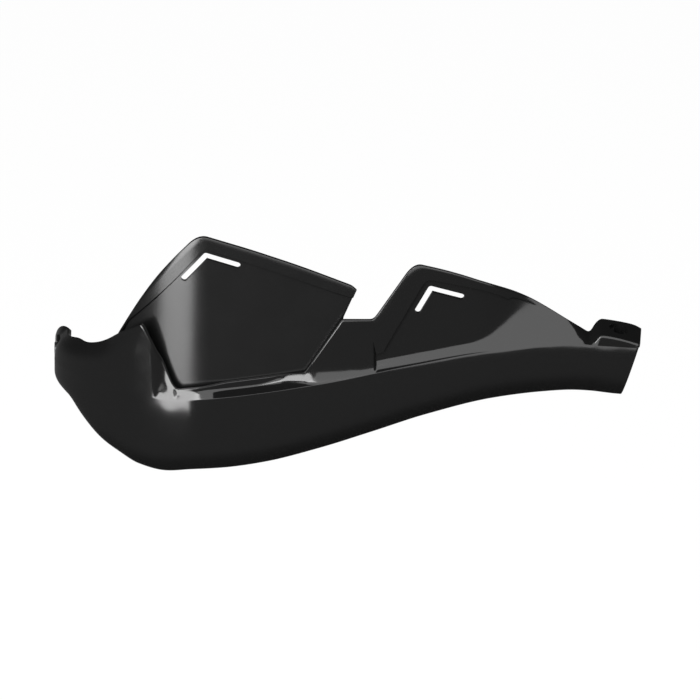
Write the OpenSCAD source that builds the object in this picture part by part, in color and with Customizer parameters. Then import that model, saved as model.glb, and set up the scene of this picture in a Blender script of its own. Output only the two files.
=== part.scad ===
// Wrap-round motorcycle hand guard for the right-hand side of the handlebar.
// Frame: the origin is the centre of the seat face round the bar end bolt hole, on the handlebar axis.
// +X runs inboard along the bar, +Z is up and -Y is forwards, away from the rider's fingers.

/* [Plan] */
// Distance from the bar end seat to the inner end of the guard
guard_l = 336.5; // [328:0.5:350]
// Distance from the bar axis forwards to the front face
reach = 76; // [70:1:82]
// Distance from the bar end seat out to the outer face of the strap
strap_out = 5; // [5:0.5:7]
// Place along the bar where the corner has turned into the front face
corner_x = 85; // [80:1:90]
// Place along the bar of the front face's foremost point
crown_x = 110; // [100:1:120]
// Radius of the long front face, seen from above
front_r = 1400; // [1200:20:1800]

/* [Walls] */
// Wall of the shell
wall = 3; // [2.6:0.1:3.4]
// Wall of the wind deflector
deflector_wall = 2.6; // [2.2:0.1:3]
// Gap between the back of the shell and the front of the deflector
seat_gap = 0.5; // [0.3:0.1:1]

/* [Shell section] */
// Width of the strap at the bar end
strap_w = 31; // [29:0.5:34]
// Height of the curl along the lower edge
curl_h = 14; // [10:1:16]
// How far the band leans back between its curl and its crease
band_crown = 2; // [1:0.5:3]
// Depth of the ledge above the crease, round the window
ledge_d = 6; // [5:0.5:8]
// How far the wing's recessed panel lies below its rim
wing_relief = 2.2; // [1.5:0.1:3]
// How far the deflector's panel lies below its rim
deflector_relief = 2; // [1.5:0.1:3]

/* [Window and wing] */
// Left end of the window's sill
window_l = 44.7; // [42:0.5:48]
// Right end of the window's opening
window_r = 163; // [160:0.5:168]
// Height of the bridge between the window and the wing
bridge_z = 47.3; // [46:0.5:54]
// Place along the bar of the wing's peak
wing_x = 204.7; // [200:0.5:210]
// Height of the wing's peak
wing_z = 80.8; // [76:0.5:86]
// Place along the bar of the deflector's peak
deflector_x = 77.3; // [74:0.5:82]
// Height of the deflector's peak
deflector_z = 96.3; // [90:0.5:100]
// Width of the V-shaped slots in the wing and the deflector
slot_w = 3.6; // [2.6:0.1:4]

/* [Mounting points] */
// Bore of the bar end bush, for an M8 bolt
bolt_d = 8.4; // [8.2:0.1:8.8]
// Outer diameter of the bar end bush
bush_d = 12; // [11.5:0.5:13]
// Diameter of the pad that seats on the bar end
seat_d = 21; // [18:0.5:21]
// Diameter of the hole in the inner lug
lug_hole_d = 11; // [10:0.5:12]
// Depth of the lug from the front face to its back edge
lug_d = 20; // [19:0.5:22]
// Thickness of the lug round its hole
lug_t = 5; // [4.5:0.5:6]

/* [Screws] */
// Diameter of the thread-forming screws
screw_d = 4; // [3.5:0.1:4.5]
// Length of a screw under its head
screw_l = 10; // [9:0.5:10]
// Diameter of a screw's flange
screw_head_d = 9; // [8:0.5:10]
// Outer diameter of the screw bosses
boss_d = 8.5; // [8:0.5:9.5]

/* [Ribs] */
// Thickness of the ribs behind the band
rib_t = 2; // [1.6:0.1:2.4]

/* [Hidden] */

end_x = -strap_out;
strap_r = strap_w / 2;
// Clearance of a part that is pressed or screwed in
fit_gap = 0.05;
// Share of a wall that bosses, ribs and pads reach into
embed = 0.5;
// Overrun of a cutting shape
over = 1;

// Blends between two values
function lerp(a, b, t) = a + (b - a) * t;
// Limits a value to 0 to 1
function unit(t) = min(1, max(0, t));
// Eases from 0 to 1
function ease(t) = let (c = unit(t)) c * c * (3 - 2 * c);
// Turns a direction a quarter left and makes it one long
function turned(v) = [-v[1], v[0]] / norm(v);

// Index of the table row that starts the stretch holding x
function stretch(tab, x, i = 0) =
    i >= len(tab) - 2 || x < tab[i + 1][0] ? i : stretch(tab, x, i + 1);
// Slope of the stretch that starts at row i
function rise(tab, i) = (tab[i + 1][1] - tab[i][1]) / (tab[i + 1][0] - tab[i][0]);
// Slope of the smooth curve at row i, level where the table turns round so that it never overshoots
function knot_rise(tab, i) =
    i == 0 ? rise(tab, 0)
    : i == len(tab) - 1 ? rise(tab, i - 1)
    : let (m = rise(tab, i - 1), n = rise(tab, i)) m * n <= 0 ? 0 : 2 * m * n / (m + n);
// Smooth curve through the rows of a table
function curve(tab, x) =
    let (
        i = stretch(tab, x),
        w = tab[i + 1][0] - tab[i][0],
        t = unit((x - tab[i][0]) / w),
        a = knot_rise(tab, i) * w,
        b = knot_rise(tab, i + 1) * w
    )
    tab[i][1] * (1 + 2 * t) * (1 - t) * (1 - t) + a * t * (1 - t) * (1 - t)
    + tab[i + 1][1] * t * t * (3 - 2 * t) + b * t * t * (t - 1);
// Straight outline through the rows of a table, each corner rounded over its third value
function outline(tab, x) =
    let (i = stretch(tab, x))
    tab[i][1] + rise(tab, i) * (x - tab[i][0]) + rounding(tab, x, 1);
function rounding(tab, x, i) =
    i >= len(tab) - 1 ? 0
    : let (
        r = tab[i][2],
        gap = r - abs(x - tab[i][0]),
        turn = rise(tab, i) - rise(tab, i - 1)
    )
    (gap > 0 ? turn * gap * gap / (4 * r) : 0) + rounding(tab, x, i + 1);

// Plan curve: end plate, corner and long front arc
plate_y = -8;
corner_in = 25;
corner_out = 50;
front_slope = (corner_x - crown_x) / front_r;
front_y = -reach + (corner_x - crown_x) ^ 2 / (2 * front_r);
bend = [
    [end_x, plate_y],
    [end_x, plate_y - corner_in],
    [corner_x - corner_out, front_y - corner_out * front_slope],
    [corner_x, front_y]
];
function bezier(p, t) =
    p[0] * (1 - t) ^ 3 + p[1] * 3 * t * (1 - t) ^ 2 + p[2] * 3 * t * t * (1 - t) + p[3] * t ^ 3;
function bezier_rate(p, t) =
    (p[1] - p[0]) * 3 * (1 - t) ^ 2 + (p[2] - p[1]) * 6 * t * (1 - t) + (p[3] - p[2]) * 3 * t * t;
// A station below 0 is millimetres along the end plate, 0 to 1 is the corner, above 1 the front by 100 mm
front_unit = 100;
function plan(u) =
    u <= 0 ? [end_x, plate_y - u]
    : u < 1 ? bezier(bend, u)
    : let (x = corner_x + (u - 1) * front_unit) [x, -reach + (x - crown_x) ^ 2 / (2 * front_r)];
function heading(u) =
    u <= 0 ? [0, -1]
    : u < 1 ? bezier_rate(bend, u)
    : [1, (corner_x + (u - 1) * front_unit - crown_x) / front_r];
function outward(u) = let (h = heading(u) / norm(heading(u))) [h[1], -h[0]];
// Station whose place along the bar is x
function station(x, lo = 0, hi = 1, n = 24) =
    x >= corner_x ? 1 + (x - corner_x) / front_unit
    : n == 0 ? (lo + hi) / 2
    : let (mid = (lo + hi) / 2) bezier(bend, mid)[0] < x
        ? station(x, mid, hi, n - 1)
        : station(x, lo, mid, n - 1);

// Heights and depths along the bar: [place, value] or [place, value, rounding]
window_floor_l = window_l + 19.3;
window_floor_r = window_r - 22;
wing_l = window_r + 18.2;
wing_step = wing_l + 6.1;
lug_l = guard_l - 30.5;
lug_z = 30;
lug_top = lug_z + 3.2;
// Place at a share of the run from the wing's peak to the lug
function wing_run(run) = lerp(wing_x, lug_l, run);
// Point at shares of the run and of the drop from the wing's peak to the lug
function falling(run, drop) = [wing_run(run), lerp(wing_z, lug_top, drop)];
lower_edge = [
    [end_x, -strap_r], [1.5, -18], [9, -26.8], [20, -36.2], [30, -41.2], [42, -46.4], [56, -48.4],
    [74, -46.3], [95, -44.7], [118, -41.1], [150, -32.6], [180, -23], [wing_run(0.07), -12.8],
    [wing_run(0.447), -4], [wing_run(0.73), -1.1], [wing_run(0.87), -0.6], [lug_l + 4, -1.5], [guard_l, -4.5]
];
crease_line = [
    [end_x, 0], [20, 2], [40, 0], [60, -1.5], [85, 0.3], [150, 9.5], [200, 19.5], [wing_run(0.447), 27.5],
    [wing_run(0.842), 30], [lug_l + 10, 27.5], [guard_l, 25]
];
top_edge = [
    [end_x, strap_r, 1], [2.5, 19.6, 3], [8, 19.7, 4], [19, 24.5, 6], [32, 35.4, 5], [window_l, 43, 1.5],
    [window_floor_l, 4, 3], [window_floor_r, 14.6, 1], [window_r, bridge_z, 1], [wing_l, bridge_z, 2],
    [wing_x, wing_z, 5], concat(falling(0.218, 0.113), 12), concat(falling(0.51, 0.34), 12),
    concat(falling(0.74, 0.603), 10), concat(falling(0.94, 0.895), 5), [lug_l + 1, lug_top - 0.5, 1.5],
    [lug_l + 6, lug_z + 6.8, 2], [guard_l - 12, lug_z + 3.9, 8], [guard_l, lug_z, 1]
];
lip_depth = [[end_x, 6.5], [22, 7], [60, 9], [250, 9], [guard_l, 6]];
crown_depth = [[end_x, 0], [32, 0], [62, band_crown], [guard_l, band_crown]];
ledge_depth = [
    [end_x, 1], [40, 1.5], [53, 2], [67, ledge_d], [window_r + 7, ledge_d], [wing_l + 1, 1.5],
    [wing_run(0.35), 1.5], [wing_run(0.694), 7], [wing_run(0.862), 7], [lug_l, 4], [lug_l + 7, 1.5],
    [guard_l, 1.5]
];
ledge_rise = [
    [end_x, 8.5], [20, 15], [40, 27], [53, 26], [66, 2.5], [window_r + 7, 2.5], [wing_l + 1, 1],
    [wing_run(0.35), 1], [wing_run(0.694), 4], [wing_run(0.862), 4], [lug_l, 4.5], [lug_l + 7, 6],
    [guard_l, 6]
];
wall_lean = [
    [end_x, 1], [10, 0.8], [22, 0.57], [40, 0.2], [60, 0.1], [wing_run(0.447), 0.1],
    [wing_run(0.743), 0.25], [guard_l, 0.25]
];
fillet_r = [
    [end_x, 5], [40, 6], [66, 6], [window_r - 43, 7], [window_r - 13, 12], [window_r + 7, 10],
    [wing_l + 1, 2], [wing_run(0.3), 3], [wing_run(0.595), 22], [wing_run(0.842), 14], [lug_l + 7, 6],
    [guard_l, 6]
];
lug_reach = [
    [lug_l - 25, 0, 1], [lug_l - 7, 2, 6], [lug_l + 1, 6, 2], [lug_l + 6, lug_d, 3],
    [guard_l - 4, lug_d, 3], [guard_l, lug_d - 3, 1]
];
wing_panel = [
    [wing_l, 14, 1], [wing_step, 29, 3], concat(falling(0.069, 0.216), 3),
    concat(falling(0.428, 0.386), 8), concat(falling(0.526, 0.496), 8), concat(falling(0.714, 0.769), 1)
];
// The inner end is cut square to the bar and leans outboard towards the lower edge
end_slant = 0.34;
end_run = 45;
end_turn = (guard_l - crown_x) / front_r;
slant_z = 31;
function end_share(x) = ease((x - guard_l + end_run) / end_run);
// Share of the full relief at place x: the panel starts in a step and fades out towards the lug
fade_l = wing_run(0.447);
fade_r = wing_run(0.713);
function wing_share(x) = ease((x - wing_l + 0.7) / 2.5) * (1 - ease((x - fade_l) / (fade_r - fade_l)));

// Rounded corner: start and end of the curve that rounds the corner k between the points c and t
function corner_start(c, k, r) = k + (c - k) * min(1, r / norm(c - k));
function corner_end(k, t, r) = k + (t - k) * min(0.8, r / norm(t - k));
function quad(a, k, b, t) = a * (1 - t) ^ 2 + k * 2 * t * (1 - t) + b * t * t;
function quad_rate(a, k, b, t) = (k - a) * 2 * (1 - t) + (b - k) * 2 * t;
// Inward direction at a sharp corner between two inward directions, long enough to keep the wall even
function mitre(m, n) = (m + n) / (1 + m * n);

lip_steps = 4;
band_steps = 4;
fillet_steps = 5;
// Height of the sloping step between a recessed panel and its rim
step_w = 0.9;
// Places of the rim's rows between the step and the edge
function rim_shares(run, step) = [min(step_w / run / (1 - step), 0.25), 0.6, 1];
// Section of the shell at place x: rows of [depth, height, inward depth, inward height, rim share]
function section(x, inner = false) =
    let (
        zb = curve(lower_edge, x),
        zc = curve(crease_line, x),
        zt = outline(top_edge, x),
        lip = curve(lip_depth, x),
        crown = curve(crown_depth, x),
        h = min(curl_h, (zc - zb) * 0.5),
        deep = wing_relief * wing_share(x),
        zk = min(zc + curve(ledge_rise, x), zt - 2.5),
        c = [-crown, zc],
        k = [-crown - curve(ledge_depth, x) - deep, zk],
        t = [k[0] - curve(wall_lean, x) * (zt - zk) - max(0, outline(lug_reach, x)), zt],
        r = curve(fillet_r, x),
        band_in = turned([-2 * crown, zc - zb - h]),
        ledge_in = turned(k - c),
        wall_in = turned(t - k),
        half_turn = tan(acos(min(1, band_in * ledge_in)) / 2),
        a = corner_start(c, k, min(r, norm(k - c) - wall * half_turn - 0.3)),
        b = corner_end(k, t, r),
        run = norm(t - b),
        panel_top = (outline(wing_panel, x) - b[1]) / (t[1] - b[1]),
        share = deep > 0 ? min(0.85, max(0.1, panel_top)) : 0.5,
        step = inner ? min(share + wall / run, lerp(share, 1, 0.6)) : share
    )
    concat(
        [for (i = [0:lip_steps - 1]) let (q = 90 * i / lip_steps)
            concat(
                [-lip * (1 - sin(q)), zb + h * (1 - cos(q))],
                turned([lip * cos(q), h * sin(q)]), 0)],
        [for (i = [0:band_steps - 1]) let (f = i / band_steps)
            concat([-crown * f * f, lerp(zb + h, zc, f)], turned([-2 * crown * f, zc - zb - h]), 0)],
        [concat(c, mitre(band_in, ledge_in), 0)],
        [for (i = [0:fillet_steps - 1]) let (f = i / (fillet_steps - 1))
            concat(quad(a, k, b, f), turned(quad_rate(a, k, b, f)), 0)],
        [for (f = [1 / 3, 2 / 3, 1]) concat(lerp(b, t, step * f), wall_in, 0)],
        [for (f = rim_shares(run, step)) concat(lerp(b, t, lerp(step, 1, f)), wall_in, 1)]
    );
// Depth of the shell's outer face at place x and height z
function skin_depth(x, z) =
    let (rows = [for (s = section(x)) [s[1], s[0]]], i = stretch(rows, z))
    rows[i][1] + rise(rows, i) * (z - rows[i][0]);

// Columns of the shell, from the round end of the strap to the lug
function spread(a, b, n) = [for (i = [0:n - 1]) lerp(a, b, i / n)];
tip_angles = [84, 68, 52, 36, 20, 8];
shell_x = concat(
    spread(8, 32, 5), spread(32, window_l, 3), spread(window_l, window_floor_l, 6),
    spread(window_floor_l, window_floor_r, 7), spread(window_floor_r, window_r, 6),
    spread(window_r, wing_l, 4), spread(wing_l, wing_step, 3), spread(wing_step, wing_x - 5, 3),
    spread(wing_x - 5, wing_x + 10, 5), spread(wing_x + 10, lug_l - 5, 10), spread(lug_l - 5, lug_l + 7, 7),
    spread(lug_l + 7, guard_l - 4, 3), spread(guard_l - 4, guard_l, 2), [guard_l]
);
shell_stations = concat(
    [for (q = tip_angles) plate_y - strap_r * sin(q)],
    [plate_y, plate_y / 2, 0, 0.08, 0.16, 0.24],
    [for (x = shell_x) station(x)]
);
function shell_column(u, inner) =
    let (
        p = plan(u),
        x = p[0],
        tip = sqrt(max(0, 1 - (max(0, p[1]) / strap_r) ^ 2)),
        tip_depth = 1 - max(0, p[1]) / strap_r,
        deep = wing_relief * wing_share(x)
    )
    [for (s = section(x, inner))
        let (
            m = lerp([-1, 0], [s[2], s[3]], tip) * (inner ? wall : 0),
            shift = end_slant * (slant_z - s[1]) + end_turn * (s[0] + m[0]),
            v = u - end_share(x) * shift / front_unit,
            place = plan(v) + outward(v) * (s[0] * tip_depth + s[4] * deep + m[0])
        )
        [place[0], place[1], s[1] * tip + m[1]]];

// Closed sheet between an outer and an inner grid of points, given column by column
module sheet(outer, inner) {
    nc = len(outer);
    nr = len(outer[0]);
    skin = nc * nr;
    // The two triangles of a quad
    function pair(a, b, c, d) = [[a, b, c], [a, c, d]];
    faces = concat(
        [for (i = [0:nc - 2], j = [0:nr - 2])
            let (p = i * nr + j) each pair(p, p + 1, p + nr + 1, p + nr)],
        [for (i = [0:nc - 2], j = [0:nr - 2])
            let (p = skin + i * nr + j) each pair(p, p + nr, p + nr + 1, p + 1)],
        [for (i = [0:nc - 2], j = [0, nr - 1])
            let (p = i * nr + j, q = p + nr)
            each j == 0 ? pair(p, q, q + skin, p + skin) : pair(p, p + skin, q + skin, q)],
        [for (j = [0:nr - 2], i = [0, nc - 1])
            let (p = i * nr + j, q = p + 1)
            each i == 0 ? pair(p, p + skin, q + skin, q) : pair(p, q, q + skin, p + skin)]
    );
    polyhedron(points = concat([for (c = outer) each c], [for (c = inner) each c]), faces = faces);
}

// Places children at place x, height z and depth d, their +Z pointing outwards from the guard
module on_guard(x, z, d) {
    u = station(x);
    p = plan(u) + outward(u) * d;
    translate([p[0], p[1], z])
        rotate([0, 90, atan2(outward(u)[1], outward(u)[0])])
            children();
}

// Points on a circle as wide as a slot, from one angle to another
function slot_arc(centre, from, to, steps) =
    [for (i = [0:steps]) let (q = lerp(from, to, i / steps)) centre + slot_w / 2 * [cos(q), sin(q)]];
// V-shaped slot, drawn in the elevation of the guard and cut through it from front to back
module v_slot(left, corner, right) {
    left_tilt = atan2(corner[1] - left[1], corner[0] - left[0]);
    right_tilt = atan2(right[1] - corner[1], right[0] - corner[0]);
    across = (left_tilt + right_tilt) / 2 + 90;
    inside = corner - slot_w / 2 / cos((left_tilt - right_tilt) / 2) * [cos(across), sin(across)];
    rotate([90, 0, 0])
        linear_extrude(height = reach + 10)
            polygon(concat(
                slot_arc(left, left_tilt + 90, left_tilt + 270, 8),
                [inside],
                slot_arc(right, right_tilt - 90, right_tilt + 90, 8),
                slot_arc(corner, right_tilt + 90, left_tilt + 90, 3)
            ));
}

// Wind deflector: stands behind the window of the shell
deflector_back = band_crown + ledge_d + wall + seat_gap;
deflector_lean = 0.1;
deflector_l = 25;
deflector_r = window_r + 8.6;
// Point placed from the peak of the deflector
function from_peak(x, z) = [deflector_x + x, deflector_z + z];
// Point at a share of the run from the peak to the inner edge, that far below the peak
function past_peak(run, drop) = [lerp(deflector_x, deflector_r, run), deflector_z - drop];
deflector_top = [
    [20, 20, 1], [31, 41.8, 6], concat(from_peak(-34.7, -34.8), 8), concat(from_peak(-20.6, -17.9), 8),
    [deflector_x, deflector_z, 8], concat(past_peak(0.347, 9.6), 10), concat(past_peak(0.657, 19.4), 12),
    [deflector_r - 2.6, deflector_z - 31, 1.5], [deflector_r, deflector_z - 33.5, 1]
];
deflector_panel = [
    [20, 27.5, 1], concat(from_peak(-36.8, -48.8), 4), concat(from_peak(4.2, -9.3), 4),
    [deflector_r, deflector_z - 38.8, 1]
];
deflector_skirt = [[20, 12], [45, 6], [62, -12], [85, -14], [150, -4], [deflector_r, -1]];
deflector_places = concat(
    spread(deflector_l, deflector_x - 11, 9), spread(deflector_x - 11, deflector_x + 13, 7),
    spread(deflector_x + 13, deflector_r - 4, 8), spread(deflector_r - 4, deflector_r, 2), [deflector_r]
);
// The inner edge follows the slope of the window's edge down to the bridge
deflector_slant = 0.46;
slant_run = 50;
// Depth of the deflector's front face at place x and height z
function deflector_depth(x, z) =
    -deflector_back - deflector_lean * (z - curve(crease_line, x) - 2.5);
function deflector_column(x, inner) =
    let (
        u = station(x),
        zs = curve(deflector_skirt, x),
        zt = outline(deflector_top, x),
        run = zt - zs,
        zp = min(zt - 3, outline(deflector_panel, x)),
        share = (zp - zs) / run,
        step = inner ? min(share + deflector_wall / run, lerp(share, 1, 0.6)) : share
    )
    [for (s = concat(
            [for (i = [0:7]) [step * i / 7, 0]],
            [for (f = rim_shares(run, step)) [lerp(step, 1, f), 1]]))
        let (
            z = lerp(zs, zt, s[0]),
            d = deflector_depth(x, z) + s[1] * deflector_relief - (inner ? deflector_wall : 0),
            slant = deflector_slant * ease(1 + (x - deflector_r) / slant_run),
            v = u - slant * (zt - max(z, bridge_z - 2)) / front_unit,
            place = plan(v) + outward(v) * d
        )
        [place[0], place[1], z]];

// Screws that hold the deflector, from behind: [place, height]
function below_crease(x) = [x, curve(crease_line, x) - 9];
screw_l_x = window_l - 1.7;
screw_r_x = window_r - 9;
screw_places = concat(
    [[screw_l_x, 24]], [for (f = [0.315, 0.676, 1]) below_crease(lerp(screw_l_x, screw_r_x, f))]
);
// Pad under a screw's flange, on the back of the deflector
pad_t = 0.8;
pad_d = screw_head_d + 3;
// Clearance hole in the deflector, and the gap between it and the tip of a boss
screw_play = 0.6;
boss_gap = 0.8;
function screw_seat(s) = deflector_depth(s[0], s[1]) - deflector_wall - pad_t;

module screw_boss(s) {
    tip = deflector_depth(s[0], s[1]) + boss_gap;
    on_guard(s[0], s[1], tip)
        cylinder(d = boss_d, h = skin_depth(s[0], s[1]) - wall * embed - tip, $fn = 20);
}

// Web across the hollow of the band: follows the inside of the band and is open to the back
rib_head = [-5, -1.5];
rib_foot = [-1, 6];
module rib(x) {
    u = station(x);
    rows = section(x);
    edge = [for (i = [1:lip_steps + band_steps]) let (s = rows[i])
        [s[0] + s[2] * wall * embed, s[1] + s[3] * wall * embed]];
    p = plan(u);
    translate([p[0], p[1], 0])
        rotate([90, 0, atan2(outward(u)[1], outward(u)[0])])
            translate([0, 0, -rib_t / 2])
                linear_extrude(height = rib_t)
                    polygon(concat(edge, [edge[len(edge) - 1] + rib_head, edge[0] + rib_foot]));
}
rib_places = concat(
    [for (f = [0.146, 0.45, 0.78, 1.11]) lerp(window_l, window_r, f)],
    [for (f = [0.052, 0.388, 0.704, 0.94]) wing_run(f)]
);

// Lug: its hole stands square to the plate, which slopes down inboard
lug_x = guard_l - 11.6;
lug_back = 13.8;
lug_rise = 2.8;
lug_slope = atan(7 / 25);
collar_w = 3;
module on_lug() {
    u = station(lug_x);
    p = plan(u) - outward(u) * lug_back;
    translate([p[0], p[1], lug_z + lug_rise])
        rotate([0, lug_slope, 0])
            children();
}

module shell() {
    color("#1e1e1f")
    difference() {
        union() {
            sheet(
                [for (u = shell_stations) shell_column(u, false)],
                [for (u = shell_stations) shell_column(u, true)]
            );
            translate([end_x + wall * embed, 0, 0])
                rotate([0, 90, 0])
                    cylinder(d = seat_d, h = strap_out - wall * embed, $fn = 32);
            for (s = screw_places) screw_boss(s);
            for (x = rib_places) rib(x);
            on_lug()
                translate([0, 0, -lug_t])
                    cylinder(d = lug_hole_d + 2 * collar_w, h = lug_t - wall * embed, $fn = 32);
        }
        translate([end_x - over, 0, 0])
            rotate([0, 90, 0])
                cylinder(d = bush_d + 2 * fit_gap, h = strap_out + 2 * over, $fn = 32);
        on_lug()
            translate([0, 0, -lug_t - over])
                cylinder(d = lug_hole_d, h = lug_t + 4 * over, $fn = 32);
        for (s = screw_places)
            on_guard(s[0], s[1], screw_seat(s))
                cylinder(d = screw_d + 2 * fit_gap, h = screw_l + boss_gap, $fn = 16);
        v_slot(falling(0.017, 0.605), falling(0.091, 0.338), falling(0.264, 0.443));
    }
}

module deflector() {
    color("#2a2a2b")
    difference() {
        union() {
            sheet(
                [for (x = deflector_places) deflector_column(x, false)],
                [for (x = deflector_places) deflector_column(x, true)]
            );
            for (s = screw_places)
                on_guard(s[0], s[1], screw_seat(s))
                    cylinder(d = pad_d, h = pad_t + deflector_wall * embed, $fn = 20);
        }
        for (s = screw_places)
            on_guard(s[0], s[1], screw_seat(s) - over)
                cylinder(d = screw_d + screw_play, h = deflector_wall + pad_t + 2 * over, $fn = 16);
        v_slot(from_peak(-6.3, -27.5), from_peak(6.3, -13.6), from_peak(24.6, -19.1));
    }
}

module bar_end_bush() {
    color("#b8bcc0")
    translate([end_x, 0, 0])
        rotate([0, 90, 0])
            difference() {
                cylinder(d = bush_d, h = strap_out, $fn = 32);
                translate([0, 0, -over])
                    cylinder(d = bolt_d, h = strap_out + 2 * over, $fn = 32);
            }
}

module deflector_screws() {
    flange_t = 0.8;
    head_t = 2.4;
    head_d = screw_head_d * 0.75;
    recess_t = 1.5;
    recess_l = 4;
    recess_w = 1;
    color("#8f9296")
    for (s = screw_places)
        on_guard(s[0], s[1], screw_seat(s) - fit_gap)
            difference() {
                union() {
                    cylinder(d = screw_d, h = screw_l, $fn = 16);
                    translate([0, 0, -flange_t])
                        cylinder(d = screw_head_d, h = flange_t, $fn = 20);
                    translate([0, 0, -head_t])
                        cylinder(d = head_d, h = head_t, $fn = 20);
                }
                for (q = [0, 90])
                    rotate(q)
                        translate([-recess_l / 2, -recess_w / 2, -head_t - over])
                            cube([recess_l, recess_w, recess_t + over]);
            }
}

shell();
deflector();
bar_end_bush();
deflector_screws();
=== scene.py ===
import math

import bmesh
import bpy
from bpy.props import FloatProperty, PointerProperty, StringProperty
from mathutils import Matrix, Vector


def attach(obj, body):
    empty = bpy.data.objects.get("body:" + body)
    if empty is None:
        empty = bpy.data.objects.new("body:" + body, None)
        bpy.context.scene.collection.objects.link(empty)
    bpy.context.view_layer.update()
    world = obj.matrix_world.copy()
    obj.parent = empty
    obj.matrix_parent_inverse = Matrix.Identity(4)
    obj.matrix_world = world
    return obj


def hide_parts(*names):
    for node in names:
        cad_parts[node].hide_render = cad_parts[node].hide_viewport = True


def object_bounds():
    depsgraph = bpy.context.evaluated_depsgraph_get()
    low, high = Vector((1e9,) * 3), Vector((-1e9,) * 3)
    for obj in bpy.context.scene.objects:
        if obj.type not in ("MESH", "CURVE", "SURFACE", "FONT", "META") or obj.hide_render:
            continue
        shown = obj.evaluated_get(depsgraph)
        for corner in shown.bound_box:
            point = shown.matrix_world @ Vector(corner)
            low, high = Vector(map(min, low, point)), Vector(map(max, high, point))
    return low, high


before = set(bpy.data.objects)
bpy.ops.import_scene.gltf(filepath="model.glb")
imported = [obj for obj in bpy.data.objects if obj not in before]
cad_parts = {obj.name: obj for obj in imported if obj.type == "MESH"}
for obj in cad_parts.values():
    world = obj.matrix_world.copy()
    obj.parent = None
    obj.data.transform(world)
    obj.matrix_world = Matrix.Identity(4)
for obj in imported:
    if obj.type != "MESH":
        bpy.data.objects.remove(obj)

bl_info = {
    "name": "Motorcycle hand guard",
    "version": (1, 0, 0),
    "blender": (4, 5, 0),
    "location": "3D View > Sidebar > Hand guard",
    "description": "Builds the finished looks of a wrap-round hand guard over its solid model",
    "category": "Object",
}

CAD_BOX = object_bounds()
MM = 0.001
# Distance in metres at which points are one, and the angle from which an edge stays sharp
MERGE = 1e-7
SHARP = math.radians(32)

# Sizes of the solid model, in millimetres, repeated from the source
GUARD_L = 336.5
REACH = 76.0
STRAP_OUT = 5.0
CORNER_X = 85.0
CROWN_X = 110.0
FRONT_R = 1400.0
WALL = 3.0
DEFLECTOR_WALL = 2.6
SEAT_GAP = 0.5
STRAP_W = 31.0
CURL_H = 14.0
BAND_CROWN = 2.0
LEDGE_D = 6.0
WING_RELIEF = 2.2
DEFLECTOR_RELIEF = 2.0
WINDOW_L = 44.7
WINDOW_R = 163.0
BRIDGE_Z = 47.3
WING = (204.7, 80.8)
PEAK = (77.3, 96.3)
SLOT_W = 3.6
BOLT_D = 8.4
BUSH_D = 12.0
SEAT_D = 21.0
LUG_HOLE_D = 11.0
LUG_D = 20.0
LUG_T = 5.0
SCREW_D = 4.0
SCREW_L = 10.0
FLANGE_D = 9.0
BOSS_D = 8.5
RIB_T = 2.0
EMBED = 0.5
FIT_GAP = 0.05

# Details of the bush, the screws and their holes, in millimetres
BUSH_SOFT = 0.4
FLANGE_T = 0.8
HEAD_T = 2.4
RECESS_L = 4.0
RECESS_W = 1.0
RECESS_T = 1.5
THREAD_T = 0.45
THREAD_PITCH = 1.35
SCREW_PLAY = 0.6
LUG_SEAT_D = LUG_HOLE_D + 6
# A cutter goes this far past a face, so that it cuts through
PAST = 1.0

END_X = -STRAP_OUT
STRAP_R = STRAP_W / 2

# Sizes of the shell's section, in millimetres or as shares
WALL_LEAST = 2.5
LEDGE_KEEP = 0.3
FILLET_MOST = 0.8
LUG_FILLET = 0.25
LUG_FADE = 7.0
PANEL_LOW, PANEL_HIGH = 0.1, 0.85
INNER_STEP = 0.6
STEP_W = 0.9
STEP_MOST = 0.25
CREASE_SOFT = 0.2
CREASE_TIGHT = 0.15
CREASE_CLEAR = 0.5

# Rows of the shell's section, from the lower edge up
EDGE_ROWS = 4
CURL_STEPS = 9
BAND_STEPS = 8
CREASE_STEPS = 4
FILLET_STEPS = 9
WALL_STEPS = 6
BAND_END = EDGE_ROWS + CURL_STEPS - 1 + BAND_STEPS + 1
CREASE_MIDDLE = BAND_END + CREASE_STEPS // 2

# A rib starts on this row of the curl, and its free edge stands off the skin by these steps
RIB_START = 5
RIB_TOP = Vector((-5, -1.5))
RIB_FOOT = Vector((-1, 6))


def lerp(a, b, t):
    """Value at share t of the way from a to b."""
    return a + (b - a) * t


def unit(t):
    """Keeps a share between 0 and 1."""
    return min(1.0, max(0.0, t))


def ease(t):
    """Share that starts and ends softly."""
    c = unit(t)
    return c * c * (3 - 2 * c)


def stretch(tab, x):
    """Index of the table row that starts the stretch holding x."""
    i = 0
    while i < len(tab) - 2 and x >= tab[i + 1][0]:
        i += 1
    return i


def rise(tab, i):
    """Slope of a table after its row i."""
    return (tab[i + 1][1] - tab[i][1]) / (tab[i + 1][0] - tab[i][0])


def knot_rise(tab, i):
    """Slope of the smooth curve at row i, which never overshoots the rows."""
    if i == 0:
        return rise(tab, 0)
    if i == len(tab) - 1:
        return rise(tab, i - 1)
    m, n = rise(tab, i - 1), rise(tab, i)
    return 0.0 if m * n <= 0 else 2 * m * n / (m + n)


def curve(tab, x):
    """Smooth curve through the rows of a table."""
    i = stretch(tab, x)
    w = tab[i + 1][0] - tab[i][0]
    t = unit((x - tab[i][0]) / w)
    a, b = knot_rise(tab, i) * w, knot_rise(tab, i + 1) * w
    return (tab[i][1] * (1 + 2 * t) * (1 - t) ** 2 + a * t * (1 - t) ** 2
            + tab[i + 1][1] * t * t * (3 - 2 * t) + b * t * t * (t - 1))


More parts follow.
